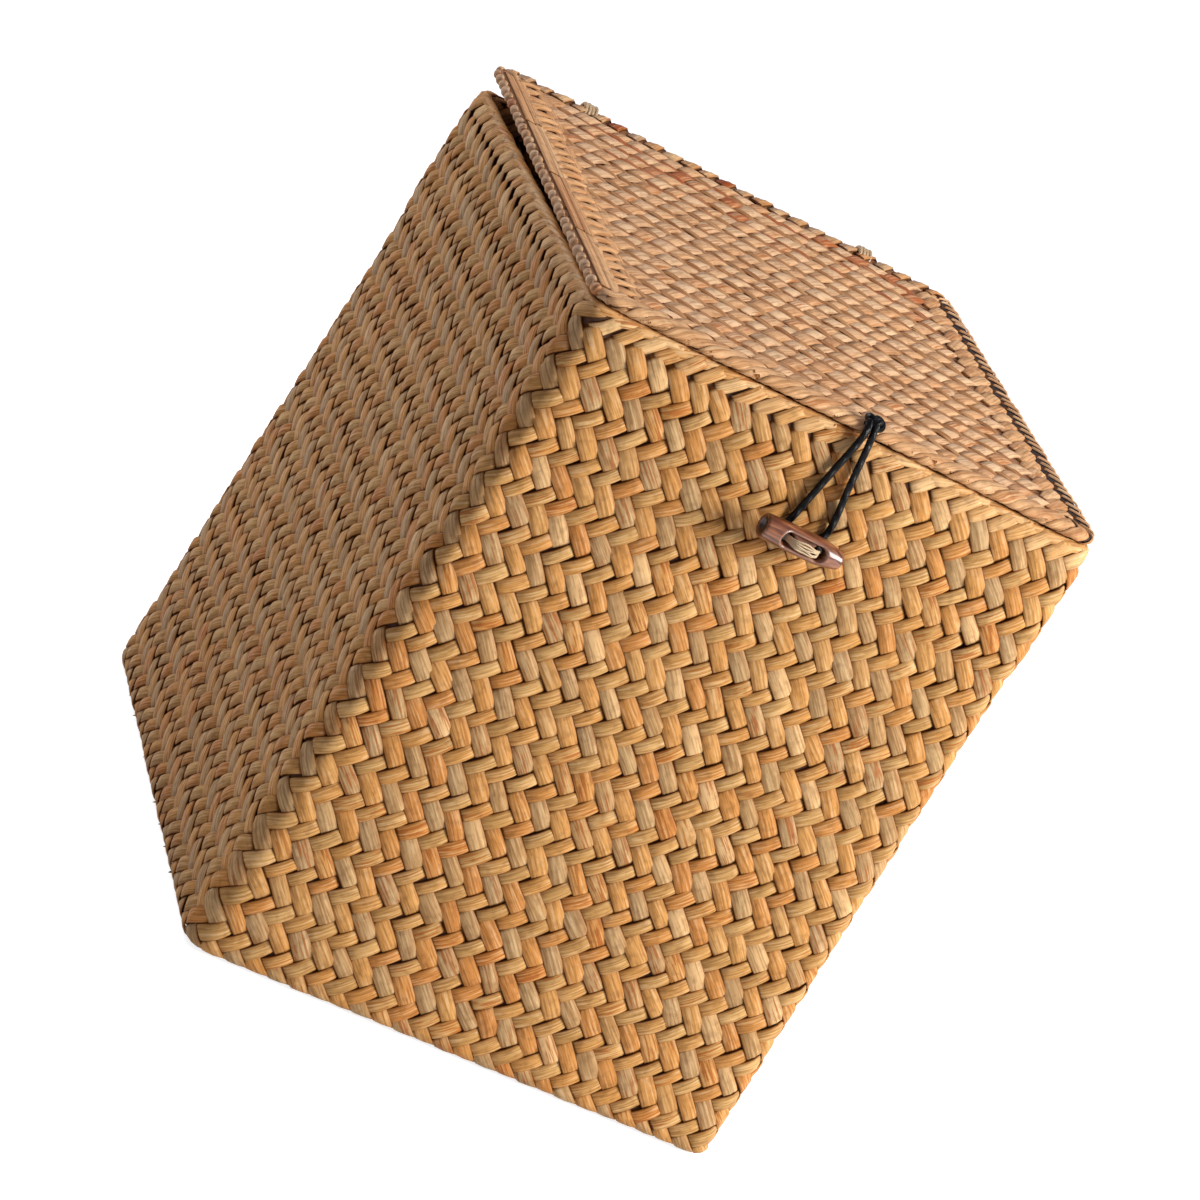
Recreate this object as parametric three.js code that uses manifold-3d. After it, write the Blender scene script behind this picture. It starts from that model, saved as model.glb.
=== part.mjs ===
// A plaited rush box with a hinged lid, closed by a cord loop over a wooden toggle.
// Millimetres, +Z up, front towards -Y. The origin is the centre of the base's underside.
import * as THREE from 'three';
import { mergeVertices } from 'three/addons/utils/BufferGeometryUtils.js';
import Module from 'manifold-3d';

const wasm = await Module();
wasm.setup();

// Driving sizes of the basket
const rimWidth = 250;
const rimDepth = 250;
const rimHeight = 319;
const baseWidth = 260;
const baseDepth = 267;
const wallThickness = 3.6;
const floorThickness = 4;
const footRadius = 5;
const rimCornerRadius = 9;
const baseCornerRadius = 11;

// Driving sizes of the rim
const strandThickness = 1.5;
const rimWireRadius = 1.6;
const turndownHeight = 60;
const innerFoldHeight = 9;

// Driving sizes of the lid
const lidWidth = 250;
const lidDepth = 250;
const lidPanelThickness = 2.6;
const lidWireRadius = 1.3;
const lidWrapThickness = 0.9;
const lidBorderWidth = 12;
const lidCornerRadius = 10;
const hingeInset = 3.2;
const hingeLift = 8;

// Driving sizes of the hinge lashings
const lashOffset = 75;
const lashWidth = 7;
const lashThickness = 1.6;
const lidSlotLength = 11;

// Driving sizes of the toggle and its tie
const toggleLength = 38;
const toggleRadius = 5.7;
const toggleDrop = 47.5;
const toggleShift = 2.3;
const toggleHoleSpacing = 15;
const toggleHoleRadius = 1.9;
const recessLength = 23;
const recessWidth = 6.6;
const recessDepth = 2.6;
const tieThickness = 1.2;
const tieWidth = 3.2;
const tieShankRadius = 2.2;
const tieKnotRadius = 4.2;

// Driving sizes of the cord loop
const cordRadius = 1.5;
const loopSpread = 18.6;
const loopShift = 6.4;
const knotShift = 6;
const knotInset = 5.5;
const knotRadius = 4;
const knotStrandGap = 3.4;
const tailInset = 19;
const tailRadius = 2.2;
const stopperRadius = 3.4;

// Clearances
const touchGap = 0.3;
const looseGap = 0.6;
const overrun = 3;

// Smoothness of the round shapes
const cornerSteps = 5;
const roundSides = 16;
const wireSides = 8;
const cordSides = 8;
const footSteps = 2;
const foldSteps = 4;

const materials = {
  rush: [0xb98a52, 0.75, 0],
  lidRush: [0xb58c62, 0.78, 0],
  steel: [0x8c8f92, 0.45, 0.9],
  raffia: [0xe2d3b0, 0.85, 0],
  wood: [0x7a3f24, 0.35, 0],
  cord: [0x111214, 0.55, 0],
};

function material(name) {
  const [color, roughness, metalness] = materials[name];
  return new THREE.MeshStandardMaterial({ color, roughness, metalness });
}

// A horizontal ring of points with round corners, counted anticlockwise seen from above.
function ring(halfX, halfY, radius, z) {
  const points = [];
  const quarters = [[1, -1], [1, 1], [-1, 1], [-1, -1]];
  quarters.forEach(([signX, signY], quarter) => {
    for (let step = 0; step <= cornerSteps; step += 1) {
      const angle = (quarter - 1 + step / cornerSteps) * Math.PI / 2;
      const x = signX * (halfX - radius) + radius * Math.cos(angle);
      const y = signY * (halfY - radius) + radius * Math.sin(angle);
      points.push(new THREE.Vector3(x, y, z));
    }
  });
  return points;
}

function middleOf(points) {
  const sum = points.reduce((total, point) => total.add(point), new THREE.Vector3());
  return sum.divideScalar(points.length);
}

// A solid skinned over a row of rings. A closed row ends where it starts; an open one is capped.
function loft(rings, isClosed) {
  const count = rings[0].length;
  const points = rings.flat();
  const faces = [];
  const spans = isClosed ? rings.length : rings.length - 1;
  for (let row = 0; row < spans; row += 1) {
    const next = (row + 1) % rings.length;
    for (let i = 0; i < count; i += 1) {
      const j = (i + 1) % count;
      const [a, b, c, d] = [row * count + i, row * count + j, next * count + j, next * count + i];
      faces.push(a, b, c, a, c, d);
    }
  }
  if (!isClosed) {
    const last = (rings.length - 1) * count;
    const lowMiddle = points.push(middleOf(rings[0])) - 1;
    const highMiddle = points.push(middleOf(rings.at(-1))) - 1;
    for (let i = 0; i < count; i += 1) {
      const j = (i + 1) % count;
      faces.push(lowMiddle, j, i, highMiddle, last + i, last + j);
    }
  }
  const geometry = new THREE.BufferGeometry().setFromPoints(points);
  geometry.setIndex(faces);
  return geometry;
}

function toManifold(geometry) {
  const bare = geometry.clone();
  bare.deleteAttribute('normal');
  bare.deleteAttribute('uv');
  const merged = mergeVertices(bare);
  return new wasm.Manifold(new wasm.Mesh({
    numProp: 3,
    vertProperties: new Float32Array(merged.attributes.position.array),
    triVerts: new Uint32Array(merged.index.array),
  }));
}

function toGeometry(manifold) {
  const mesh = manifold.getMesh();
  const geometry = new THREE.BufferGeometry();
  geometry.setAttribute('position', new THREE.BufferAttribute(mesh.vertProperties, 3));
  geometry.setIndex(new THREE.BufferAttribute(mesh.triVerts, 1));
  return geometry;
}

function cut(geometry, ...tools) {
  return toGeometry(tools.reduce((body, tool) => body.subtract(toManifold(tool)), toManifold(geometry)));
}

function join(geometry, ...others) {
  return toGeometry(others.reduce((body, other) => body.add(toManifold(other)), toManifold(geometry)));
}

function overlap(geometry, other) {
  return toGeometry(toManifold(geometry).intersect(toManifold(other)));
}

function box(width, depth, height, x, y, z) {
  return new THREE.BoxGeometry(width, depth, height).translate(x, y, z);
}

function rodAlongY(radius, length, x, y, z) {
  return new THREE.CylinderGeometry(radius, radius, length, roundSides).translate(x, y, z);
}

const object = new THREE.Group();
object.name = 'woven_lidded_box';

function addPiece(parent, name, geometry, finish) {
  const mesh = new THREE.Mesh(geometry, material(finish));
  mesh.name = name;
  parent.add(mesh);
}

// The outside of the plaited wall leans out from the rim to the base.
const turndownFace = touchGap + strandThickness;
const neckHalfX = rimWidth / 2 - turndownFace;
const neckHalfY = rimDepth / 2 - turndownFace;
const neckCornerRadius = rimCornerRadius - turndownFace;

function wallHalfX(z) {
  return THREE.MathUtils.lerp(baseWidth / 2, neckHalfX, z / rimHeight);
}

function wallHalfY(z) {
  return THREE.MathUtils.lerp(baseDepth / 2, neckHalfY, z / rimHeight);
}

function wallCornerRadius(z) {
  return THREE.MathUtils.lerp(baseCornerRadius, neckCornerRadius, z / rimHeight);
}

// A ring that follows the wall at one height, moved outwards by an offset.
function wallRing(offset, z) {
  return ring(wallHalfX(z) + offset, wallHalfY(z) + offset, wallCornerRadius(z) + offset, z);
}

// The rim's wire stands on the wall's top edge, and the folded strands close over it.
const foldRadius = wallThickness / 2 + touchGap + strandThickness;
const rimWireZ = rimHeight - foldRadius;
const wallTop = rimWireZ - rimWireRadius - touchGap;
const turndownFoot = rimHeight - turndownHeight;
const innerFoldFoot = rimHeight - innerFoldHeight;

// Hinge line: the wire in the lid's back edge, carried above the rim by the lashings.
const lidEdgeRadius = lidWireRadius + touchGap + lidWrapThickness;
const hingeY = rimDepth / 2 - hingeInset;
const hingeZ = rimHeight + touchGap + lidEdgeRadius + hingeLift;
const frontCrestY = -(neckHalfY - wallThickness / 2);
const lidTilt = Math.atan(hingeLift / (hingeY - frontCrestY));

// Toggle: its axis runs along X in front of the wall, with room for the cord behind it. The
// cord hangs from the lid, so it clears the rim as well as the wall at the toggle.
const toggleZ = rimHeight - toggleDrop;
const turndownY = -(Math.max(wallHalfY(toggleZ), neckHalfY) + turndownFace);
const cordLaneY = turndownY - touchGap - cordRadius;
const toggleBackY = cordLaneY - cordRadius - touchGap - tieThickness - touchGap;
const toggleY = toggleBackY - toggleRadius;
const innerWallY = -(wallHalfY(toggleZ) - wallThickness);

// Lashing: a belt round the rim's fold below and the lid's edge above.
const lashLowRadius = foldRadius + 2 * looseGap;
const lashHighRadius = lidEdgeRadius + looseGap;
const rimMiddleY = wallHalfY(rimWireZ) - wallThickness / 2;
const lashLowY = rimMiddleY + looseGap;
const lashLowZ = innerFoldFoot - looseGap;
const lashHoleTop = lashLowZ - looseGap;
const lashHoleFoot = lashLowZ - lashLowRadius - lashThickness - touchGap;

function lashHole(side) {
  const depth = 2 * (foldRadius + lashThickness + overrun);
  const width = lashWidth + 2 * touchGap;
  const height = lashHoleTop - lashHoleFoot;
  return box(width, depth, height, side * lashOffset, rimMiddleY, lashHoleFoot + height / 2);
}

function shankHole() {
  const length = 2 * (wallThickness + turndownFace + overrun);
  return rodAlongY(tieShankRadius + touchGap, length, toggleShift, turndownY, toggleZ);
}

// Plaited shell: base and walls are one plait, open at the top.
function plaitedShell() {
  const rings = [];
  for (let step = 0; step <= footSteps; step += 1) {
    const angle = step / footSteps * Math.PI / 2;
    const z = footRadius * (1 - Math.cos(angle));
    rings.push(wallRing(-footRadius * (1 - Math.sin(angle)), z));
  }
  rings.push(wallRing(0, wallTop));
  rings.push(wallRing(-wallThickness, wallTop));
  rings.push(wallRing(-wallThickness, floorThickness));
  return cut(loft(rings, false), shankHole(), lashHole(-1), lashHole(1));
}

// A round wire bent into a hoop. hoopRing gives the ring that lies out and up from its middle.
function wireHoop(radius, hoopRing) {
  const rings = [];
  for (let side = 0; side < wireSides; side += 1) {
    const angle = side / wireSides * 2 * Math.PI;
    rings.push(hoopRing(radius * Math.cos(angle), radius * Math.sin(angle)));
  }
  return loft(rings, true);
}

// Rim wire: it follows the middle of the wall's top edge.
function rimWire() {
  return wireHoop(rimWireRadius, (out, up) => {
    const base = wallRing(-wallThickness / 2 + out, rimWireZ);
    return base.map((point) => point.setZ(rimWireZ + up));
  });
}

// Folded rim: the strands turn over the wire, down inside a little and far down outside.
function foldedRim() {
  const middle = -wallThickness / 2;
  const outside = foldRadius;
  const inside = foldRadius - strandThickness;
  const lipShare = 0.75;
  const rings = [];
  const atMiddle = (offset, z) => rings.push(wallRing(middle + offset, z));
  atMiddle(inside, turndownFoot);
  atMiddle(inside + lipShare * strandThickness, turndownFoot);
  atMiddle(outside, turndownFoot + strandThickness);
  for (let step = 0; step <= foldSteps; step += 1) {
    const angle = step / foldSteps * Math.PI;
    atMiddle(outside * Math.cos(angle), rimWireZ + outside * Math.sin(angle));
  }
  atMiddle(-outside, innerFoldFoot);
  atMiddle(-inside, innerFoldFoot);
  for (let step = foldSteps; step >= 0; step -= 1) {
    const angle = step / foldSteps * Math.PI;
    atMiddle(inside * Math.cos(angle), rimWireZ + inside * Math.sin(angle));
  }
  return cut(loft(rings, true), shankHole(), lashHole(-1), lashHole(1));
}

// Lashing: raffia wound round both edges, which lets the lid turn in it.
function beltOutline(path, low, lowRadius, high, highRadius) {
  const span = low.distanceTo(high);
  const lean = Math.atan2(high.y - low.y, high.x - low.x);
  const flank = Math.PI / 2 + Math.asin((lowRadius - highRadius) / span);
  path.absarc(high.x, high.y, highRadius, lean - Math.PI + flank, lean + Math.PI - flank, false);
  path.absarc(low.x, low.y, lowRadius, lean + Math.PI - flank, lean + Math.PI + flank, false);
  return path;
}

function hingeLashing(side) {
  const low = new THREE.Vector2(lashLowY, lashLowZ);
  const high = new THREE.Vector2(hingeY, hingeZ);
  const outer = new THREE.Shape();
  beltOutline(outer, low, lashLowRadius + lashThickness, high, lashHighRadius + lashThickness);
  outer.holes.push(beltOutline(new THREE.Path(), low, lashLowRadius, high, lashHighRadius));
  const belt = new THREE.ExtrudeGeometry(outer, {
    depth: lashWidth, bevelEnabled: false, curveSegments: roundSides / 2,
  });
  belt.translate(0, 0, -lashWidth / 2);
  return belt.rotateY(Math.PI / 2).rotateX(Math.PI / 2).translate(side * lashOffset, 0, 0);
}

// Lid, drawn flat with its hinge line at the origin and its front towards -Y.
const lid = new THREE.Group();
lid.position.set(0, hingeY, hingeZ);
lid.rotation.x = lidTilt;
const lidWireHalfX = lidWidth / 2 - lidEdgeRadius;
const lidWireHalfY = lidDepth / 2 - lidEdgeRadius;
const lidFrontY = -2 * lidWireHalfY - lidEdgeRadius;

function lidRing(out, up) {
  const points = ring(lidWireHalfX + out, lidWireHalfY + out, lidCornerRadius + out, up);
  return points.map((point) => point.setY(point.y - lidWireHalfY));
}

function lidSlot(side) {
  const width = lashWidth + 2 * touchGap;
  const height = 2 * (lidEdgeRadius + overrun);
  return box(width, lidSlotLength, height, side * lashOffset, -lidWireRadius - lidSlotLength / 2, 0);
}

function rodAlongZ(radius, length, x, y, z) {
  const rod = new THREE.CylinderGeometry(radius, radius, length, roundSides);
  return rod.rotateX(Math.PI / 2).translate(x, y, z);
}

function tailHole() {
  const length = 2 * (lidEdgeRadius + overrun);
  return rodAlongZ(tailRadius + touchGap, length, knotShift, lidFrontY + tailInset, 0);
}

function lidPanel() {
  const inset = -(lidWireRadius + touchGap);
  const low = lidRing(inset, -lidPanelThickness / 2);
  const high = lidRing(inset, lidPanelThickness / 2);
  return cut(loft([low, high], false), lidSlot(-1), lidSlot(1), tailHole());
}

// Lid border: strands folded round the wire and laid flat over both faces of the panel.
function lidBorder() {
  const outside = lidEdgeRadius;
  const inside = lidWireRadius + touchGap;
  const rings = [lidRing(-lidBorderWidth, -inside), lidRing(-lidBorderWidth, -outside)];
  for (let step = 0; step <= foldSteps; step += 1) {
    const angle = (step / foldSteps - 1 / 2) * Math.PI;
    rings.push(lidRing(outside * Math.cos(angle), outside * Math.sin(angle)));
  }
  rings.push(lidRing(-lidBorderWidth, outside), lidRing(-lidBorderWidth, inside));
  for (let step = foldSteps; step >= 0; step -= 1) {
    const angle = (step / foldSteps - 1 / 2) * Math.PI;
    rings.push(lidRing(inside * Math.cos(angle), inside * Math.sin(angle)));
  }
  return cut(loft(rings, true), lidSlot(-1), lidSlot(1), tailHole());
}

// Knot of the cord loop: it lies on the border, and its tail goes back and down through
// the panel to a stopper knot inside the box.
function loopKnot() {
  const flatShare = 0.65;
  const knotZ = lidEdgeRadius + touchGap + knotRadius * flatShare;
  const tailZ = lidEdgeRadius + touchGap + tailRadius;
  const stopperZ = -lidPanelThickness / 2 - touchGap - stopperRadius * flatShare;
  const ball = (radius, y, z) => {
    const shape = new THREE.SphereGeometry(radius, roundSides, roundSides / 2);
    return shape.rotateX(Math.PI / 2).scale(1, 1, flatShare).translate(knotShift, lidFrontY + y, z);
  };
  const run = tailInset - knotInset;
  const tail = rodAlongY(tailRadius, run, knotShift, lidFrontY + knotInset + run / 2, tailZ);
  const stemZ = (tailZ + stopperZ) / 2;
  const stem = rodAlongZ(tailRadius, tailZ - stopperZ, knotShift, lidFrontY + tailInset, stemZ);
  const elbow = ball(tailRadius, tailInset, tailZ);
  const stopper = ball(stopperRadius, tailInset, stopperZ);
  return join(ball(knotRadius, knotInset, knotZ), tail, elbow, stem, stopper);
}

// A bowl sunk in the toggle's front.
function recess(halfLength, depth, halfWidth) {
  const bowl = new THREE.SphereGeometry(1, roundSides, roundSides / 2);
  return bowl.scale(halfLength, depth, halfWidth).translate(0, -toggleRadius, 0);
}

// Toggle: a turned stick with a scooped recess and two holes for its tie.
function toggle() {
  const endShare = 0.8;
  const shoulderShare = 0.42;
  const half = toggleLength / 2;
  const profile = [
    [0, -half], [endShare * toggleRadius, -half], [toggleRadius, -shoulderShare * half],
    [toggleRadius, shoulderShare * half], [endShare * toggleRadius, half], [0, half],
  ];
  const stick = new THREE.LatheGeometry(profile.map(([r, y]) => new THREE.Vector2(r, y)), roundSides);
  stick.rotateZ(-Math.PI / 2);
  const scoop = recess(recessLength / 2, recessDepth, recessWidth / 2);
  const holes = [-1, 1].map((side) => rodAlongY(
    toggleHoleRadius, 2 * (toggleRadius + overrun), side * toggleHoleSpacing / 2, 0, 0,
  ));
  return cut(stick, scoop, ...holes).translate(toggleShift, toggleY, toggleZ);
}

// Tie: raffia laid in the recess, through both holes, and through the wall to a knot inside.
function toggleTie() {
  const bridgeY = -toggleRadius + tieThickness / 2;
  const webY = toggleRadius + touchGap + tieThickness / 2;
  const legRadius = toggleHoleRadius - touchGap;
  const span = toggleHoleSpacing + 2 * legRadius;
  const knotY = innerWallY + touchGap + tieKnotRadius - toggleY;
  const bridge = overlap(
    recess(recessLength / 2 - touchGap, recessDepth - touchGap, tieWidth / 2),
    box(span, recessDepth, tieWidth, 0, bridgeY + recessDepth / 2, 0),
  );
  const web = box(span, tieThickness, tieWidth, 0, webY, 0);
  const legs = [-1, 1].map((side) => rodAlongY(
    legRadius, webY - bridgeY, side * toggleHoleSpacing / 2, (webY + bridgeY) / 2, 0,
  ));
  const shank = rodAlongY(tieShankRadius, knotY - webY, 0, (knotY + webY) / 2, 0);
  const knot = new THREE.SphereGeometry(tieKnotRadius, roundSides, roundSides / 2).translate(0, knotY, 0);
  return join(web, bridge, ...legs, shank, knot).translate(toggleShift, toggleY, toggleZ);
}

// Cord loop: down over the lid's front edge, round behind the toggle's tie, and back up.
function loopCord() {
  const edgeY = hingeY - 2 * lidWireHalfY * Math.cos(lidTilt);
  const edgeZ = hingeZ - 2 * lidWireHalfY * Math.sin(lidTilt);
  const edgeBend = lidEdgeRadius + touchGap + cordRadius;
  const hook = tieShankRadius + touchGap + cordRadius;
  const knotFrontY = edgeY - lidEdgeRadius + knotInset - knotRadius - touchGap;
  const shoulder = Math.PI / 3;
  const hookSpreadShare = 1 / 3;
  const strand = (side) => {
    const top = knotShift + side * knotStrandGap / 2;
    const low = loopShift + side * loopSpread / 2;
    return [
      [top, knotFrontY, edgeZ + edgeBend],
      [top, edgeY - edgeBend * Math.cos(shoulder), edgeZ + edgeBend * Math.sin(shoulder)],
      [top, edgeY - edgeBend, edgeZ],
      [THREE.MathUtils.lerp(top, low, 1 / 2), cordLaneY, (edgeZ + toggleZ + toggleRadius) / 2],
      [low, cordLaneY, toggleZ + toggleRadius],
      [toggleShift + side * hookSpreadShare * loopSpread, cordLaneY, toggleZ],
    ];
  };
  const points = [
    ...strand(-1), [toggleShift, cordLaneY, toggleZ - hook], ...strand(1).reverse(),
  ].map(([x, y, z]) => new THREE.Vector3(x, y, z));
  const route = new THREE.CatmullRomCurve3(points, false, 'centripetal');
  const section = new THREE.Shape().absarc(0, 0, cordRadius, 0, 2 * Math.PI);
  const steps = Math.round(route.getLength() / (2 * cordRadius));
  return new THREE.ExtrudeGeometry(section, { steps, curveSegments: cordSides / 2, extrudePath: route });
}

addPiece(object, 'plaited_shell', plaitedShell(), 'rush');
addPiece(object, 'rim_wire', rimWire(), 'steel');
addPiece(object, 'folded_rim', foldedRim(), 'rush');
addPiece(object, 'hinge_lashing_left', hingeLashing(-1), 'raffia');
addPiece(object, 'hinge_lashing_right', hingeLashing(1), 'raffia');
addPiece(lid, 'lid_panel', lidPanel(), 'lidRush');
addPiece(lid, 'lid_wire', wireHoop(lidWireRadius, lidRing), 'steel');
addPiece(lid, 'lid_border', lidBorder(), 'lidRush');
addPiece(lid, 'loop_knot', loopKnot(), 'cord');
object.add(lid);
addPiece(object, 'loop_cord', loopCord(), 'cord');
addPiece(object, 'toggle', toggle(), 'wood');
addPiece(object, 'toggle_tie', toggleTie(), 'raffia');

export default object;
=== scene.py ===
import math

import bmesh
import bpy
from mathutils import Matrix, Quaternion, Vector


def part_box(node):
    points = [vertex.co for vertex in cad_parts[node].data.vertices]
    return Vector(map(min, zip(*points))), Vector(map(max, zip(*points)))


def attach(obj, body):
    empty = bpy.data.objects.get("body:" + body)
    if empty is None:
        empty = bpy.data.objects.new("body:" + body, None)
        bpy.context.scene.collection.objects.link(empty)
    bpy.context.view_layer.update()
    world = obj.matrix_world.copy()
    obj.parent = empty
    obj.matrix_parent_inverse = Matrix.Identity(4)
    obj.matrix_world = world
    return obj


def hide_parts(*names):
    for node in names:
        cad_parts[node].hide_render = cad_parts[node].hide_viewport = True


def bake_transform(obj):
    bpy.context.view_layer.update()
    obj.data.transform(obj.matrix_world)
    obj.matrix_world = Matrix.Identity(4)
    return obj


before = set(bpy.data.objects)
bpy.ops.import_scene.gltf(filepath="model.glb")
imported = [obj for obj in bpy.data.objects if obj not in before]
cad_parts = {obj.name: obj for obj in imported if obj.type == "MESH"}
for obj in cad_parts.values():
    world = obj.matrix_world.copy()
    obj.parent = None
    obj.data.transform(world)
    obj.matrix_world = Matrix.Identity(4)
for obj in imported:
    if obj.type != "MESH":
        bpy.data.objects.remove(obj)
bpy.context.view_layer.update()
MM = 0.001

# Camera: it stands in front of the box, a little to the left and above, and is rolled, so that
# the box leans in the picture.
def link(name, data):
    made = bpy.data.objects.new(name, data)
    bpy.context.scene.collection.objects.link(made)
    return made


camera_place = Vector((-723.2, -1615.2, 707.4)) * MM
camera_aim = Vector((3.1, 0, 167.6)) * MM
camera_roll = math.radians(32.64)
camera_lens = 127.3
camera = link("camera", bpy.data.cameras.new("camera"))
camera.data.lens = camera_lens
camera.data.sensor_width = 36
camera.data.clip_end = 100
camera.location = camera_place
camera.rotation_mode = "QUATERNION"
level = (camera_aim - camera_place).to_track_quat("-Z", "Y")
camera.rotation_quaternion = level @ Quaternion((0, 0, 1), camera_roll)
bpy.context.scene.camera = camera
bpy.context.scene.view_settings.view_transform = "Standard"


# Rush strands: flat dried stems about 7 mm wide, split and woven damp. Each has its own tone, from
# orange tan to straw, with fibres along it. Painted shade darkens its sides, and the ends where it
# dives under another, to dark reddish brown.
class Figure:
    """A number or colour in a node tree. Sums on it are written in the usual way."""

    def __init__(self, tree, socket):
        self.tree, self.socket = tree, socket

    def sum(self, operation, *others):
        node = add_node(self.tree, "ShaderNodeMath", [self, *others], operation=operation)
        return Figure(self.tree, node.outputs[0])

    def __add__(self, other):
        return self.sum("ADD", other)

    def __sub__(self, other):
        return self.sum("SUBTRACT", other)

    def __mul__(self, other):
        return self.sum("MULTIPLY", other)

    def __truediv__(self, other):
        return self.sum("DIVIDE", other)

    def __pow__(self, other):
        return self.sum("POWER", other)

    def smooth(self, low, high):
        """From 0 at low to 1 at high, with soft ends."""
        node = add_node(
            self.tree, "ShaderNodeMapRange", {"Value": self, "From Min": low, "From Max": high},
            interpolation_type="SMOOTHSTEP",
        )
        return Figure(self.tree, node.outputs[0])


def feed(socket, value):
    if isinstance(value, Figure):
        value.tree.links.new(value.socket, socket)
    else:
        socket.default_value = value


def add_node(tree, kind, inputs=(), **settings):
    node = tree.nodes.new(kind)
    for setting, value in settings.items():
        setattr(node, setting, value)
    pairs = inputs.items() if isinstance(inputs, dict) else enumerate(inputs)
    for key, value in pairs:
        feed(node.inputs[key], value)
    return node


def output_of(tree, kind, inputs=(), output=0, **settings):
    return Figure(tree, add_node(tree, kind, inputs, **settings).outputs[output])


def new_material(name, roughness=0.5):
    made = bpy.data.materials.new(name)
    made.use_nodes = True
    tree = made.node_tree
    shader = tree.nodes["Principled BSDF"]
    shader.inputs["Roughness"].default_value = roughness
    return made, tree, shader


def attribute(tree, name):
    return output_of(tree, "ShaderNodeAttribute", output="Fac", attribute_name=name)


def combined(tree, *parts):
    return output_of(tree, "ShaderNodeCombineXYZ", parts)


def object_place(tree):
    return output_of(tree, "ShaderNodeTexCoord", output="Object")


def object_axis(tree, axis):
    return output_of(tree, "ShaderNodeSeparateXYZ", [object_place(tree)], output=axis)


def noise(tree, place, scale, **settings):
    return output_of(tree, "ShaderNodeTexNoise", {"Vector": place, "Scale": scale, **settings})


def fine_relief(tree, shader, height, strength, distance):
    feed(shader.inputs["Normal"], output_of(tree, "ShaderNodeBump", {
        "Height": height, "Strength": strength, "Distance": distance}))


def ramp(tree, factor, stops):
    node = add_node(tree, "ShaderNodeValToRGB", [factor])
    elements = node.color_ramp.elements
    elements[0].position, elements[0].color = stops[0][0], (*stops[0][1], 1)
    elements[1].position, elements[1].color = stops[-1][0], (*stops[-1][1], 1)
    for position, colour in stops[1:-1]:
        elements.new(position).color = (*colour, 1)
    return Figure(tree, node.outputs[0])


def mix(tree, factor, first, second):
    node = add_node(tree, "ShaderNodeMix", data_type="RGBA")
    for index, value in ((0, factor), (6, first), (7, second)):
        if isinstance(value, tuple):
            value = (*value, 1)
        feed(node.inputs[index], value)
    return Figure(tree, node.outputs[2])


line_brown, side_shade_brown = (0.20, 0.085, 0.024), (0.40, 0.150, 0.030)
pale_straw, back_red = (0.90, 0.64, 0.35), (0.40, 0.090, 0.020)


def rush_material(name, tones, fibre_colour, shade_and_speck_colour, fibre_strength, side_shade=1.0, red_back=0.0):
    made, tree, shader = new_material(name)
    tone, chance = attribute(tree, "tone"), attribute(tree, "chance")
    along, across = attribute(tree, "along"), attribute(tree, "across")
    colour = ramp(tree, tone, tones)
    place = combined(tree, along * 1.6, across * 9, chance * 70 + tone * 30)
    fibre = noise(tree, place, 1.0, Detail=3.0)
    lines = fibre.smooth(0.5, 0.62)
    colour = mix(tree, lines * 0.42, colour, line_brown)
    colour = mix(tree, lines * fibre_strength * chance.smooth(0.72, 0.9), colour, fibre_colour)
    if red_back:
        red = object_axis(tree, "Y").smooth(0.045, 0.085) * chance.smooth(1 - red_back, 1.02 - red_back)
        colour = mix(tree, red * 0.8, colour, back_red)
    colour = mix(tree, fibre.smooth(0.5, 0.3) * 0.4, colour, pale_straw)
    # Random small dark specks in the same dark colour are the rush's own marks.
    spots = noise(tree, object_place(tree), 260.0, Detail=4.0)
    colour = mix(tree, spots.smooth(0.45, 0.75) * 0.3, colour, shade_and_speck_colour)
    # Painted shade: reddish brown towards the strand's sides, and near black at its edges and where it
    # dives under another. These places also reflect less.
    off_centre = (across * 2 - 1).sum("ABSOLUTE")
    colour = mix(tree, off_centre.smooth(0.5, 0.95) * side_shade * 0.4, colour, side_shade_brown)
    edge = off_centre.smooth(0.84, 0.97)
    rim = (edge * side_shade).sum("MAXIMUM", attribute(tree, "dip").smooth(0.06, 0.5))
    colour = mix(tree, rim * 0.95, colour, shade_and_speck_colour)
    feed(shader.inputs["Base Color"], colour)
    feed(shader.inputs["Specular IOR Level"], rim * -0.1 + 0.1)
    fine_relief(tree, shader, fibre * 0.7 + spots * 0.3, 0.5, 0.0004)
    return made


wall_rush = rush_material(
    "wall_rush",
    tones=[
        (0.0, (0.57, 0.230, 0.056)), (0.15, (0.61, 0.270, 0.068)), (0.32, (0.65, 0.318, 0.090)),
        (0.48, (0.61, 0.312, 0.096)), (0.56, (0.52, 0.294, 0.112)), (0.75, (0.46, 0.278, 0.122)),
        (0.88, (0.50, 0.308, 0.130)), (1.0, (0.72, 0.440, 0.190)),
    ],
    fibre_colour=(0.42, 0.100, 0.016), shade_and_speck_colour=(0.095, 0.024, 0.003),
    fibre_strength=0.6,
)
cross_rush = rush_material(
    "cross_rush",
    tones=[
        (0.0, (0.57, 0.230, 0.054)), (0.25, (0.60, 0.282, 0.072)), (0.5, (0.57, 0.296, 0.088)),
        (0.75, (0.50, 0.272, 0.084)), (1.0, (0.64, 0.365, 0.125)),
    ],
    fibre_colour=(0.44, 0.115, 0.018), shade_and_speck_colour=(0.095, 0.024, 0.003),
    fibre_strength=0.7,
)


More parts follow.
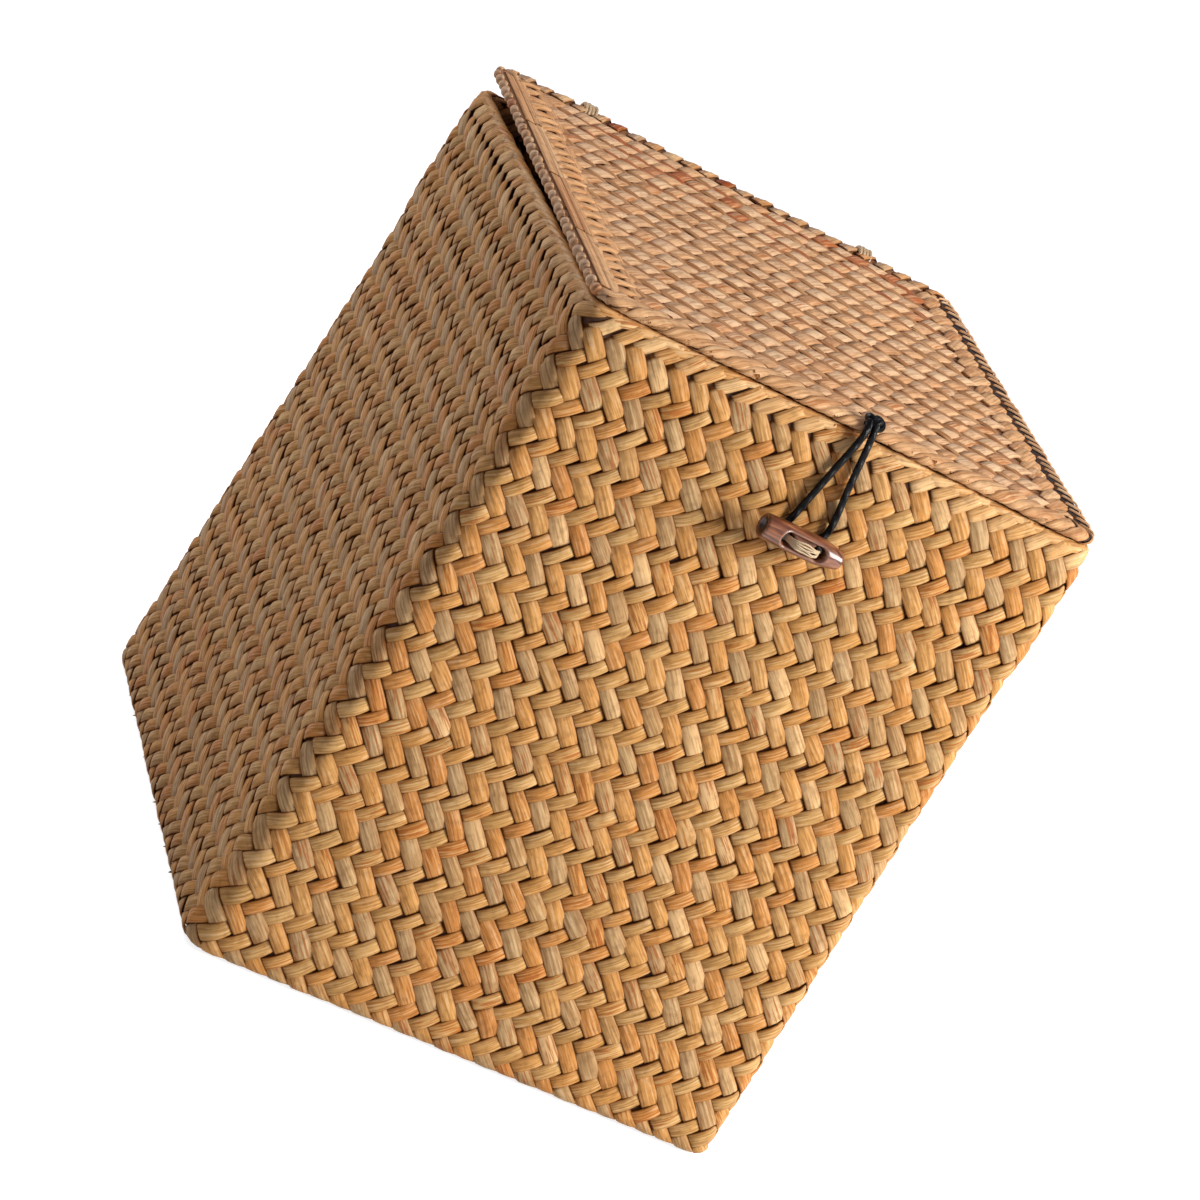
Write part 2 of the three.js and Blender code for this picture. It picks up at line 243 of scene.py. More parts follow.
# Plait: the base and walls are one sheet of strands, woven on the bias over two and under two.
# The strands lie here as short curved floats on a guide sheet that follows the box's faces.
def sheet_tree():
    tree = bpy.data.node_groups.new("woven_floats", "GeometryNodeTree")
    tree.interface.new_socket("Geometry", in_out="OUTPUT", socket_type="NodeSocketGeometry")
    tree.interface.new_socket("Guide", in_out="INPUT", socket_type="NodeSocketGeometry")
    counts = ("Columns", "Rows", "Closed Columns", "Length Steps", "Width Steps", "Seed")
    sizes = counts + (
        "Column Step", "Row Step", "First Run", "First Rise", "Slope", "Turn", "Length", "Width",
        "Crown", "Puff", "Dive", "Dive Share", "Bank", "Taper", "Shear", "Lift", "Wobble",
        "Run", "Rise", "Low Rise")
    for name in sizes:
        kind = "NodeSocketInt" if name in counts else "NodeSocketFloat"
        tree.interface.new_socket(name, in_out="INPUT", socket_type=kind)
    tree.interface.new_socket("Finish", in_out="INPUT", socket_type="NodeSocketMaterial")
    given = tree.nodes.new("NodeGroupInput")
    size = {name: Figure(tree, given.outputs[name]) for name in sizes}

    def step(kind, **inputs):
        return output_of(tree, "GeometryNode" + kind, inputs)

    def chance(low, high, shift, owner=None):
        inputs = {2: low, 3: high, "Seed": size["Seed"] + shift}
        if owner is not None:
            inputs["ID"] = owner
        return output_of(tree, "FunctionNodeRandomValue", inputs, 1)

    def wobble(most, shift):
        return chance(-most, most, shift) * size["Wobble"]

    def stored(geometry, name, value):
        return step("StoreNamedAttribute", Geometry=geometry, Name=name, Value=value)

    def own_place():
        node = add_node(tree, "ShaderNodeSeparateXYZ", [step("InputPosition")])
        return [Figure(tree, output) for output in node.outputs]

    # One float, a unit long and wide, with its height in metres. Puff is its arch, Crown how far its
    # sides drop, and Dive how far its ends go down, past Dive Share of its half length. Bank tips it
    # sideways, Shear slants its ends and Taper narrows them.
    strip = output_of(tree, "GeometryNodeMeshGrid", [
        1.0, 1.0, size["Length Steps"] + 1, size["Width Steps"] + 1])
    x, y, _ = own_place()
    far = (x * 2).sum("ABSOLUTE")
    side = (y * 2).sum("ABSOLUTE")
    spread = (far * -1 + 1) ** 1.35 * -1 + 1
    round_side = (side * -1 + 1) ** 2.3 * -1 + 1
    fall = spread.smooth(size["Dive Share"], 1.0)
    dome = (spread / size["Dive Share"]).sum("MINIMUM", 1.0) ** 2 * -1 + 1
    height = size["Puff"] * dome - size["Dive"] * fall - size["Crown"] * round_side ** 8
    signed_x = spread * x.sum("SIGN") * 0.5
    signed_y = round_side * y.sum("SIGN") * 0.5 * (size["Taper"] * spread ** 2.5 * -1 + 1)
    height = height + size["Bank"] * signed_y
    signed_x = signed_x + size["Shear"] * signed_y
    strip = step("SetPosition", Geometry=strip, Position=combined(tree, signed_x, signed_y, height))
    x, y, _ = own_place()
    x = x - size["Shear"] * y
    strip = stored(stored(strip, "along", x + 0.5), "across", y + 0.5)
    dip = ((x * 2).sum("ABSOLUTE") - size["Dive Share"]) / (size["Dive Share"] * -1 + 1)
    strip = stored(strip, "dip", dip.smooth(0.0, 1.0))

    # The floats' places, row by row, on the flat sheet.
    index = step("InputIndex")
    row = (index / size["Columns"]).sum("FLOOR")
    column = index - row * size["Columns"]
    run = size["First Run"] + column * size["Column Step"]
    rise = size["First Rise"] + row * size["Row Step"]
    points = step("Points", Count=size["Columns"] * size["Rows"], Position=combined(tree, run, rise, 0.0))
    strand = run / size["Column Step"] + rise / size["Row Step"] * size["Slope"]
    strand = strand.sum("FLOOR").sum("FLOORED_MODULO", size["Closed Columns"])
    tone = (strand.sum("MODULO", 2.0) + chance(0.0, 1.0, 1, strand)) * 0.5 + chance(-0.14, 0.14, 2)
    points = stored(points, "tone", tone.sum("MAXIMUM", 0.0).sum("MINIMUM", 1.0))
    points = stored(points, "chance", chance(0.0, 1.0, 3))
    turn = size["Turn"] + wobble(0.05, 4)
    lift = size["Lift"] + wobble(0.18 * MM, 5)
    shift = combined(tree, wobble(0.3 * MM, 6), wobble(0.3 * MM, 7), lift)
    points = step("SetPosition", Geometry=points, Offset=shift)
    length, width = size["Length"] * (wobble(0.04, 8) + 1), size["Width"] * (wobble(0.08, 9) + 1)
    floats = step("InstanceOnPoints", Points=points, Instance=strip,
                  Rotation=combined(tree, 0.0, 0.0, turn), Scale=combined(tree, length, width, 1.0))
    floats = step("RealizeInstances", Geometry=floats)

    # Each point of the floats is laid on the guide, and stands off it by its height.
    x, y, z = own_place()
    place = combined(
        tree, (x / size["Run"]).sum("FLOORED_MODULO", 1.0), (y - size["Low Rise"]) / size["Rise"], 0.0)

    unrolled = output_of(
        tree, "GeometryNodeInputNamedAttribute", {"Name": "unrolled"}, data_type="FLOAT_VECTOR")

    def on_guide(value, output=0):
        return output_of(tree, "GeometryNodeSampleUVSurface", {
            "Mesh": Figure(tree, given.outputs["Guide"]), "Value": value,
            "Source UV Map": unrolled, "Sample UV": place,
        }, output, data_type="FLOAT_VECTOR")

    foot = on_guide(step("InputPosition"))
    valid = on_guide(step("InputPosition"), 1)
    out = output_of(tree, "ShaderNodeVectorMath", [on_guide(step("InputNormal"))], operation="NORMALIZE")
    off = output_of(tree, "ShaderNodeVectorMath", {0: out, "Scale": z}, operation="SCALE")
    laid = output_of(tree, "ShaderNodeVectorMath", [foot, off], operation="ADD")
    floats = step("SetPosition", Geometry=stored(floats, "on_sheet", valid), Position=laid)
    missing = step("InputNamedAttribute", Name="on_sheet") * -1 + 1
    floats = step("DeleteGeometry", Geometry=floats, Selection=missing)
    floats = step("SetShadeSmooth", Geometry=floats)
    floats = step("RealizeInstances", Geometry=floats)
    floats = step("SetMaterial", Geometry=floats, Material=Figure(tree, given.outputs["Finish"]))
    result = tree.nodes.new("NodeGroupOutput")
    feed(result.inputs[0], floats)
    return tree


woven_floats = sheet_tree()


rim_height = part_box("folded_rim")[1].z
base_half = Vector((130, 133.5)) * MM
neck_half = Vector((123.2, 123.2)) * MM
base_corner, neck_corner = 11 * MM, 7.2 * MM
foot_radius = 5 * MM
wall_thickness = 3.6 * MM
floor_thickness = 4 * MM
corner_steps, side_steps = 8, 12


def rounded(half, radius):
    """A rounded rectangle, anticlockwise seen from above, closed at the back left corner."""
    radius = max(radius, 0.2 * MM)
    signs = ((-1, 1), (-1, -1), (1, -1), (1, 1))

    def place(corner, quarters):
        sign_x, sign_y = signs[corner % 4]
        angle = quarters * math.pi / 2
        middle = Vector((sign_x * (half[0] - radius), sign_y * (half[1] - radius)))
        return middle + Vector((math.cos(angle), math.sin(angle))) * radius

    points = []
    for corner in range(4):
        points += [place(corner, corner + 1 + step / corner_steps) for step in range(corner_steps + 1)]
        start, end = points[-1], place(corner + 1, corner + 2)
        points += [start.lerp(end, step / side_steps) for step in range(1, side_steps)]
    return points + [points[0]]


def wall_outline(z, offset):
    share = z / rim_height
    half = base_half.lerp(neck_half, share) + Vector((offset, offset))
    return rounded(half, base_corner + (neck_corner - base_corner) * share + offset)


def wall_rings(profile):
    """Rings of points round the wall, from (height that gives the outline, offset, height)."""
    return [
        [Vector((*point, z)) for point in wall_outline(reach, offset)]
        for reach, offset, z in profile
    ]


side_middle = corner_steps + side_steps // 2


def sheet_mesh(name, rings, probe=side_middle):
    """A sheet through rings of points, with its unrolled places as shares in a UV map. Its rise is
    measured up through the point of each ring that probe gives."""
    middle = rings[len(rings) // 2]
    run, rise = [0.0], [0.0]
    for first, second in zip(middle, middle[1:]):
        run.append(run[-1] + (second - first).length)
    for first, second in zip(rings, rings[1:]):
        rise.append(rise[-1] + (second[probe] - first[probe]).length)
    count = len(middle)
    mesh = bpy.data.meshes.new(name)
    faces = [
        (row * count + i, row * count + i + 1, (row + 1) * count + i + 1, (row + 1) * count + i)
        for row in range(len(rings) - 1) for i in range(count - 1)
    ]
    mesh.from_pydata([point for ring in rings for point in ring], [], faces)
    unrolled = mesh.uv_layers.new(name="unrolled")
    for loop in mesh.loops:
        row, i = divmod(loop.vertex_index, count)
        unrolled.data[loop.index].uv = (run[i] / run[-1], rise[row] / rise[-1])
    mesh.shade_smooth()
    return mesh, rise


strand_count = 100
strand_step = 10 * MM
strand_rise = 9.44 * MM
lean = math.atan2(strand_rise, strand_step)
left_strand = {
    "Columns": strand_count, "Closed Columns": strand_count, "Column Step": strand_step,
    "Row Step": 2 * strand_rise, "Slope": 2.0, "Turn": -lean, "Length": 20.5 * MM,
    "Width": 8.1 * MM, "Crown": 0.8 * MM, "Puff": 0.6 * MM, "Dive": 2.0 * MM, "Dive Share": 0.58,
    "Bank": 0.0, "Lift": 0.0, "Taper": 0.0, "Shear": 0.0, "Wobble": 1.5,
    "Length Steps": 8, "Width Steps": 4, "Low Rise": 0.0,
    "Run": strand_count * strand_step, "First Run": -0.25 * strand_step,
}
right_strand = {
    **left_strand, "Slope": -2.0, "Turn": lean, "Length": 18.5 * MM, "Width": 6.9 * MM,
    "Crown": 1.1 * MM, "Puff": 0.9 * MM, "First Run": 0.25 * strand_step,
}


def woven(name, body, slot, guide, finish, rows, **changes):
    """Rows of floats on a guide, as a plain mesh. rows: strand, count, height of the first, seed."""
    strand, count, first, seed = rows
    sizes = {**strand, "Rows": count, "First Rise": first, "Seed": seed, "Finish": finish, **changes}
    holder = link(name + "_guide", guide.copy())
    modifier = holder.modifiers.new("floats", "NODES")
    modifier.node_group = woven_floats
    for item in woven_floats.interface.items_tree:
        if item.name in sizes:
            modifier[item.identifier] = sizes[item.name]
    graph = bpy.context.evaluated_depsgraph_get()
    mesh = bpy.data.meshes.new_from_object(holder.evaluated_get(graph), depsgraph=graph)
    bpy.data.objects.remove(holder)
    mesh.name = name
    piece = link(name, mesh)
    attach(piece, body)
    return piece


band_offset = 1.8 * MM
lowest = 1.2 * MM
foot_profile = [(0.0, -foot_radius - 9 * MM, lowest)]
for step in range(7):
    angle = step / 6 * math.pi / 2
    bend = foot_radius * (1 - math.sin(angle)), foot_radius - (foot_radius - lowest) * math.cos(angle)
    foot_profile.append((0.0, -bend[0], bend[1]))
wall_profile = foot_profile + [
    (z * MM, proud * MM, z * MM) for z, proud in (
        (60, 0), (120, 0), (180, 0), (230, 0), (246, 0.15), (254, 0.8), (262, 1.65), (270, 1.8),
        (290, 1.8), (305, 1.8), (312, 1.8), (319, 1.8))]
wall_guide, rise = sheet_mesh("wall_guide", wall_rings(wall_profile))
wall_sheet = {"Rise": rise[-1], "Low Rise": foot_radius - rise[len(foot_profile) - 1]}
lower_left = woven("wall_strands_left", "basket", "rush_wall", wall_guide, wall_rush,
                   (left_strand, 14, 2 * MM, 3), **wall_sheet)
lower_right = woven("wall_strands_right", "basket", "rush_wall", wall_guide, cross_rush,
                    (right_strand, 15, -7.5 * MM, 8), **wall_sheet)

# A near-black core between the outer and the inner strands shows in the gaps of the plait, as painted shade
# for the deep gaps.
core_depth = 1.5 * MM
gap_shade_core, tree, shader = new_material("gap_shade_core", 0.8)
feed(shader.inputs["Base Color"], ramp(tree, noise(tree, object_place(tree), 300.0), [
    (0.3, (0.040, 0.011, 0.002)), (0.7, (0.09, 0.028, 0.005))]))


def shell(name, body, rings, finish):
    """A closed skin through rings, with its seam and its doubled points merged."""
    mesh, _ = sheet_mesh(name, rings)
    made = bmesh.new()
    made.from_mesh(mesh)
    bmesh.ops.remove_doubles(made, verts=made.verts, dist=0.01 * MM)
    bmesh.ops.holes_fill(made, edges=[edge for edge in made.edges if edge.is_boundary], sides=0)
    bmesh.ops.recalc_face_normals(made, faces=made.faces)
    made.to_mesh(mesh)
    made.free()
    mesh.materials.append(finish)
    piece = link(name, mesh)
    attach(piece, body)
    return piece


def upright(offset, *heights):
    """Profile points at an offset from the wall's own outline, at heights in mm."""
    return [(z * MM, offset, z * MM) for z in heights]


inner_depth = wall_thickness - core_depth
core_profile = [(0.0, bend[1] - core_depth, bend[2] + core_depth) for bend in foot_profile[1:]]
core_profile += upright(-core_depth, 100, 200, 312) + upright(-inner_depth, 312, 200, 100, 8)
core_profile += [(0.0, -inner_depth - 3 * MM, floor_thickness - core_depth)]
core = shell("wall_core", "basket", wall_rings(core_profile), gap_shade_core)

# The same strands show inside the walls and on both sides of the base.
coarse = {"Length Steps": 6, "Width Steps": 2}
guide, rise = sheet_mesh("inner_guide", wall_rings(upright(-wall_thickness, 313, 240, 160, 80, 4)))
inner_left = woven("inner_strands_left", "basket", "rush_wall", guide, wall_rush,
                   (left_strand, 16, 16 * MM, 5), Rise=rise[-1], **coarse)
inner_right = woven("inner_strands_right", "basket", "rush_wall", guide, cross_rush,
                    (right_strand, 16, 16 * MM + strand_rise, 6), Rise=rise[-1], **coarse)


def flat_sheet(name, half, middle, height, upward, place=lambda point: point):
    """A flat guide, its run along +X and facing up, or along -X and facing down."""
    side = 1 if upward else -1
    rings = [
        [place(Vector((side * x, middle + y, height))) for x in (-half.x, half.x)]
        for y in (-half.y, half.y)
    ]
    return sheet_mesh(name, rings, probe=0)[0]


pieces = [lower_left, lower_right, core, inner_left, inner_right]
for name, height, upward, inset in (
    ("base_outside", 1.4 * MM, False, 5 * MM), ("base_inside", floor_thickness, True, 0.0),
):
    half = base_half - Vector((inset, inset))
    guide = flat_sheet(name, half, 0.0, height, upward)
    flat = {
        "Run": 2 * half.x, "Rise": 2 * half.y, "Row Step": 2 * strand_step, "Columns": 24,
        "Closed Columns": 400, **coarse}
    for side, finish, rows, first_run, turn in (
        ("left", wall_rush, (left_strand, 12, 17 * MM, 50), 10 * MM, -math.pi / 4),
        ("right", cross_rush, (right_strand, 11, 27 * MM, 51), 15 * MM, math.pi / 4),
    ):
        pieces.append(woven(
            name + "_" + side, "basket", "rush_wall", guide, finish, rows, **flat,
            **{"First Run": first_run, "Turn": turn}))
for piece in pieces:
    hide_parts("plaited_shell")


# Turned-down rim: the strands' ends are bent over a wire and plaited down the outside again, so
# the top 60 mm is double and stands a little proud. The fold itself is a smooth, paler edge.
band_start = 264.25 * MM
band_left = woven("band_strands_left", "basket", "rush_wall", wall_guide, wall_rush,
                  (left_strand, 3, band_start + 2 * MM, 31), **wall_sheet, Puff=0.8 * MM)
band_right = woven("band_strands_right", "basket", "rush_wall", wall_guide, cross_rush,
                   (right_strand, 2, band_start + 11.4 * MM, 32), **wall_sheet)

wire_height = 315.4 * MM
wall_middle = -wall_thickness / 2
fold_radius, fold_thickness = 3.3 * MM, 0.9 * MM


def over_wire(radius):
    """The part of a profile that goes round the rim's wire, over the top."""
    angles = [step / 8 * math.pi for step in range(9)]
    return [
        (wire_height, wall_middle + radius * math.cos(angle), wire_height + radius * math.sin(angle))
        for angle in angles]


fold_profile = upright(band_offset, 304, 310) + over_wire(fold_radius)
fold_profile += upright(wall_middle - fold_radius, 310, 304)
guide, rise = sheet_mesh("fold_guide", wall_rings(fold_profile))
rim_rush = rush_material(
    "rim_rush",
    tones=[
        (0.0, (0.62, 0.290, 0.085)), (0.3, (0.70, 0.370, 0.125)), (0.6, (0.66, 0.365, 0.140)),
        (1.0, (0.80, 0.500, 0.220)),
    ],
    fibre_colour=(0.46, 0.140, 0.025), shade_and_speck_colour=(0.060, 0.018, 0.004),
    fibre_strength=0.8,
)
fold_rows = (
    # name, height on the guide, turn, length, width
    ("top_row", 9.4, lean, 19.5, 6.9), ("strips", 15.2, math.radians(15), 31, 6.6),
    ("inner_row", 26, lean, 24, 7.8),
)
fold_pieces = []
for row, (name, height, turn, length, width) in enumerate(fold_rows):
    fold_pieces.append(woven(
        "fold_" + name, "basket", "rush_wall", guide, rim_rush,
        (right_strand, 1, height * MM, 41 + row), Rise=rise[-1],
        **{"Turn": turn, "Length": length * MM, "Width": width * MM, "Length Steps": 14,
           "Puff": 0.2 * MM, "Crown": 0.8 * MM, "Bank": 0.5 * MM if name == "strips" else 0.0}))

core_radius = fold_radius - fold_thickness
band_core_profile = upright(band_offset - core_depth, 260, 290, 310) + over_wire(core_radius)
band_core_profile += upright(wall_middle - core_radius, 310, 306) + upright(-2.4 * MM, 306, 260)
band_core_profile += [band_core_profile[0]]
band_core = shell("band_core", "basket", wall_rings(band_core_profile), gap_shade_core)
for piece in [band_left, band_right, band_core] + fold_pieces:
    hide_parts("folded_rim")


# Wires: galvanised steel, one bent inside the rim's fold and one round the edge of the lid. They
# keep both edges straight, and the strands cover them all round.
steel, tree, shader = new_material("galvanised_wire")
drawn = noise(tree, object_place(tree), 900.0, Detail=3.0)
feed(shader.inputs["Base Color"], ramp(tree, drawn, [(0.3, (0.34, 0.34, 0.35)), (0.7, (0.62, 0.62, 0.63))]))
feed(shader.inputs["Roughness"], drawn * 0.3 + 0.25)
shader.inputs["Metallic"].default_value = 1.0
for node in ("rim_wire", "lid_wire"):
    for material_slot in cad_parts[node].material_slots:
        material_slot.material = steel


# Lid: a flat panel of finer strands, plaited over two and under two. It lies on the rim and is
# tilted up a little towards the hinge at the back, because the lashings hold it off there.
hinge = Vector((0, 121.8, 329.8)) * MM
lid_tilt = math.radians(1.884)
lid_half = 122.5 * MM
lid_corner = 10 * MM
edge_radius = 2.5 * MM
panel_half_thickness = 1.3 * MM
lid_step, lid_rise = 9.2 * MM, 7.2 * MM
lid_lean = math.atan2(lid_rise, lid_step)
panel_half = Vector((122, 122)) * MM
panel_start = 27 * MM


def on_lid(point):
    """A place on the lid, measured from the hinge line along the lid, in the scene."""
    return hinge + Vector((
        point.x, point.y * math.cos(lid_tilt) - point.z * math.sin(lid_tilt),
        point.y * math.sin(lid_tilt) + point.z * math.cos(lid_tilt)))


def lid_rings(flat, radius):
    """Rings of points round the lid's edge, from below to above, in mm: the flat part is given as
    (offset from the edge, half thickness), from the middle outwards."""
    angles = [(step / 8 - 0.5) * math.pi for step in range(9)]
    profile = [(offset, -height) for offset, height in flat]
    profile += [(radius * math.cos(angle), radius * math.sin(angle)) for angle in angles]
    profile += reversed(flat)
    rings = []
    for offset, height in profile:
        half = lid_half + offset * MM
        outline = rounded((half, half), lid_corner + offset * MM)
        rings.append([on_lid(Vector((point.x, point.y - lid_half, height * MM))) for point in outline])
    return rings


lid_rush = rush_material(
    "lid_rush",
    tones=[
        (0.0, (0.65, 0.335, 0.158)), (0.3, (0.71, 0.412, 0.210)), (0.6, (0.69, 0.427, 0.240)),
        (1.0, (0.77, 0.500, 0.285)),
    ],
    fibre_colour=(0.46, 0.150, 0.040), shade_and_speck_colour=(0.15, 0.050, 0.016),
    fibre_strength=0.7, side_shade=0.45, red_back=0.18,
)
# The low strands get a darker copy of lid_rush: painted shade where they lie under the high strands.
lid_low_shaded_rush = rush_material(
    "lid_low_shaded_rush",
    tones=[
        (0.0, (0.34, 0.130, 0.040)), (0.3, (0.44, 0.190, 0.064)), (0.6, (0.42, 0.192, 0.072)),
        (1.0, (0.55, 0.280, 0.115)),
    ],
    fibre_colour=(0.40, 0.120, 0.030), shade_and_speck_colour=(0.12, 0.040, 0.012),
    fibre_strength=0.7, side_shade=0.45, red_back=0.45,
)
band_rush = rush_material(
    "band_rush",
    tones=[
        (0.0, (0.62, 0.300, 0.125)), (0.5, (0.70, 0.375, 0.165)), (1.0, (0.78, 0.455, 0.220)),
    ],
    fibre_colour=(0.46, 0.150, 0.040), shade_and_speck_colour=(0.15, 0.052, 0.016),
    fibre_strength=0.5, side_shade=0.6,
)
lid_back_rush = rush_material(
    "lid_back_rush",
    tones=[
        (0.0, (0.34, 0.070, 0.012)), (0.08, (0.56, 0.240, 0.080)), (0.3, (0.68, 0.360, 0.150)),
        (0.6, (0.52, 0.330, 0.190)), (1.0, (0.84, 0.520, 0.240)),
    ],
    fibre_colour=(0.44, 0.110, 0.025), shade_and_speck_colour=(0.060, 0.018, 0.006),
    fibre_strength=0.9,
)
high_float = {
    **right_strand, "Columns": 22, "Column Step": lid_step, "Row Step": 2 * lid_rise,
    "Closed Columns": 400, "First Run": panel_start, "Turn": lid_lean, "Length": 22.0 * MM,
    "Width": 7.3 * MM, "Crown": 1.0 * MM, "Puff": 1.0 * MM, "Dive": 1.3 * MM, "Dive Share": 0.56,
    "Wobble": 2.1, "Taper": 0.25, "Shear": -0.24, "Length Steps": 10,
}
low_float = {
    **high_float, "First Run": panel_start - 0.5 * lid_step, "Slope": 2.0, "Turn": -lid_lean,
    "Length": 15.5 * MM, "Width": 5.8 * MM, "Puff": 0.35 * MM, "Crown": 0.5 * MM, "Dive": 0.7 * MM,
    "Lift": -0.3 * MM, "Shear": 0.0,
}
# The lid's core shows in the gaps. It is brown and darker than the strands, as painted shade, and near
# black at the right edge, as painted shade between the thin wraps.
lid_core_finish, tree, shader = new_material("brown_core", 0.8)
right_edge_shade = object_axis(tree, "X").smooth(0.107, 0.113)
feed(shader.inputs["Base Color"], mix(tree, right_edge_shade, (0.34, 0.145, 0.052), (0.020, 0.007, 0.003)))
pieces = []
for side, upward in (("top", True), ("underside", False)):
    height = panel_half_thickness if upward else -panel_half_thickness
    guide = flat_sheet("lid_guide", panel_half, -lid_half, height, upward, on_lid)
    flat = {"Run": 2 * panel_half.x, "Rise": 2 * panel_half.y}
    if not upward:
        flat.update(coarse)
    pieces.append(woven("lid_high_strands_" + side, "lid", "rush_lid", guide, lid_rush,
                        (high_float, 16, 17 * MM, 61), **flat))
    pieces.append(woven("lid_low_strands_" + side, "lid", "rush_lid", guide, lid_low_shaded_rush,
                        (low_float, 16, 17 * MM - lid_rise, 62), **flat))

# The strands stop short of the two hinge lashings, so that the lid can lie right back.
lashing_offset = 75 * MM
room_sideways, room_forward = 5.5 * MM, 9 * MM
for piece in pieces:
    made = bmesh.new()
    made.from_mesh(piece.data)
    near = [
        vertex for vertex in made.verts
        if abs(abs(vertex.co.x) - lashing_offset) < room_sideways and vertex.co.y > hinge.y - room_forward
    ]
    bmesh.ops.delete(made, geom=near, context="VERTS")
    made.to_mesh(piece.data)
    made.free()
lid_core = shell(
    "lid_core", "lid", lid_rings([(-14, 0.7), (-11, 0.8), (-3, 1.2)], 1.4), lid_core_finish)
for piece in pieces + [lid_core]:
    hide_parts("lid_panel")


# Lid edge: strands bent over a wire. They lie in broad leaning wraps at the front and back, in small
# ones like beads on the left and in thin ones with gaps on the right. Smooth bands lie inside them
# along the left and right sides.
guide, rise = sheet_mesh("edge_guide", lid_rings([(-18, 1.8), (-11, 2.1), (-3, 2.3)], 2.2))
edge_run = 962.8 * MM
side_run = edge_run / 4
corner_run = 7.85 * MM
edge_strand = {**left_strand, "Closed Columns": 400, "Slope": 0.0, "Dive Share": 0.75, "Dive": 0.7 * MM}


def wrap_sizes(turn, length, width, relief, bank):
    return {
        "Turn": math.radians(turn), "Length": length * MM, "Width": width * MM,
        "Crown": relief * MM, "Puff": relief * 0.35 * MM, "Bank": bank * MM}


under_wraps = [
    (side, "under_" + word, 79 + side, 9.8, -11.0, 46, 34, 9.0, 0.5, 0.5)
    for side, word in enumerate(("left", "front", "right", "back"))]
wrap_rows = (
    # side (0 left, 1 front, 2 right, 3 back), name, seed, pitch, distance from the edge's crest, turn,
    # length, width, relief, bank
    (0, "beads_left", 70, 7.0, -0.4, 80, 8.6, 5.6, 2.2, 0.2),
    (1, "wraps_front", 74, 9.2, 4.6, 40, 34, 7.6, 0.5, 0.7),
    (2, "wraps_right", 75, 6.4, 1.0, 72, 20, 1.7, 0.9, 0.1),
    (3, "wraps_back", 77, 9.8, 2.0, 50, 26, 7.0, 1.4, 0.9),
    *under_wraps,
)
for side, name, seed, pitch, distance, *shape in wrap_rows:
    columns = round(side_run / (pitch * MM))
    piece = woven(
        "lid_" + name, "lid", "rush_lid", guide, (lid_rush, band_rush, lid_rush, lid_back_rush)[side],
        ({**edge_strand, "Column Step": side_run / columns, "Columns": columns}, 1,
         rise[-1] / 2 + distance * MM, seed),
        **wrap_sizes(*shape),
        **{"First Run": side * side_run + corner_run + pitch / 2 * MM, "Length Steps": 30,
           "Run": edge_run, "Rise": rise[-1], "Taper": 0.4 if side == 1 else 0.0})
    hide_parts("lid_border")

long_band = {"Wobble": 0.3, "Dive Share": 0.97}
band_rows = (
    # side, name, seed, pitch, distance from the edge, turn, length, width, relief, bank, height
    (0, "outer_band_left", 71, 57.5, 4.6, 0, 59, 6.6, 0.4, -0.3, 0.4),
    (0, "middle_band_left", 83, 58.5, 9.0, 0, 61, 6.2, 0.4, -0.3, 0.5),
    (0, "slits_left", 72, 8.5, 14.6, -58, 18, 6.4, 1.4, 0.9, 0.6),
    (0, "inner_band_left", 73, 58.5, 21.0, 0, 61, 7.4, 0.5, -0.3, 0.3),
    (2, "outer_band_right", 76, 9.2, 14.2, -36, 23, 7.8, 0.6, 0.5, 0.3),
)
for side, name, seed, pitch, distance, turn, length, width, relief, bank, height in band_rows:
    inward = Vector(((1, 0), (0, 1), (-1, 0), (0, -1))[side])
    forward = Vector((inward.y, -inward.x))
    rings = []
    for depth in (0, 16, 32):
        start = inward * (depth * MM - lid_half) - forward * lid_half
        places = [start + forward * 2 * lid_half * step / 4 for step in range(5)]
        rings.append([on_lid(Vector((
            place.x, place.y - lid_half, (2.2 - 0.03 * depth) * MM))) for place in places])
    band_guide, rise = sheet_mesh("band_guide", rings, probe=0)
    longest = 1.04 * length * MM * math.cos(math.radians(turn))
    columns = int((2 * lid_half - longest) / (pitch * MM))
    piece = woven(
        "lid_" + name, "lid", "rush_lid", band_guide, band_rush,
        ({**edge_strand, "Column Step": pitch * MM, "Columns": columns + 1}, 1, distance * MM, seed),
        **wrap_sizes(turn, length, width, relief, bank),
        **{"First Run": lid_half - columns / 2 * pitch * MM, "Lift": (height - 0.4) * MM,
           "Length Steps": 14, "Run": 2 * lid_half, "Rise": rise[-1],
           **(long_band if length > 40 else {"Wobble": 2.0, "Taper": 0.45})})
    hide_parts("lid_border")


# Hinge lashings: two bands of pale raffia, each wound in turns round the lid's edge wire and
# through the wall under the rim, so that the lid swings on them.
def solid(name, points, faces, finish, **marks):
    """A closed mesh with its faces turned outwards, and numbers at its points for its finish."""
    mesh = bpy.data.meshes.new(name)
    mesh.from_pydata(points, [], faces)
    for label, values in marks.items():
        mesh.attributes.new(label, "FLOAT", "POINT").data.foreach_set("value", values)
    made = bmesh.new()
    made.from_mesh(mesh)
    bmesh.ops.recalc_face_normals(made, faces=made.faces)
    made.to_mesh(mesh)
    made.free()
    mesh.shade_smooth()
    mesh.materials.append(finish)
    return link(name, mesh)


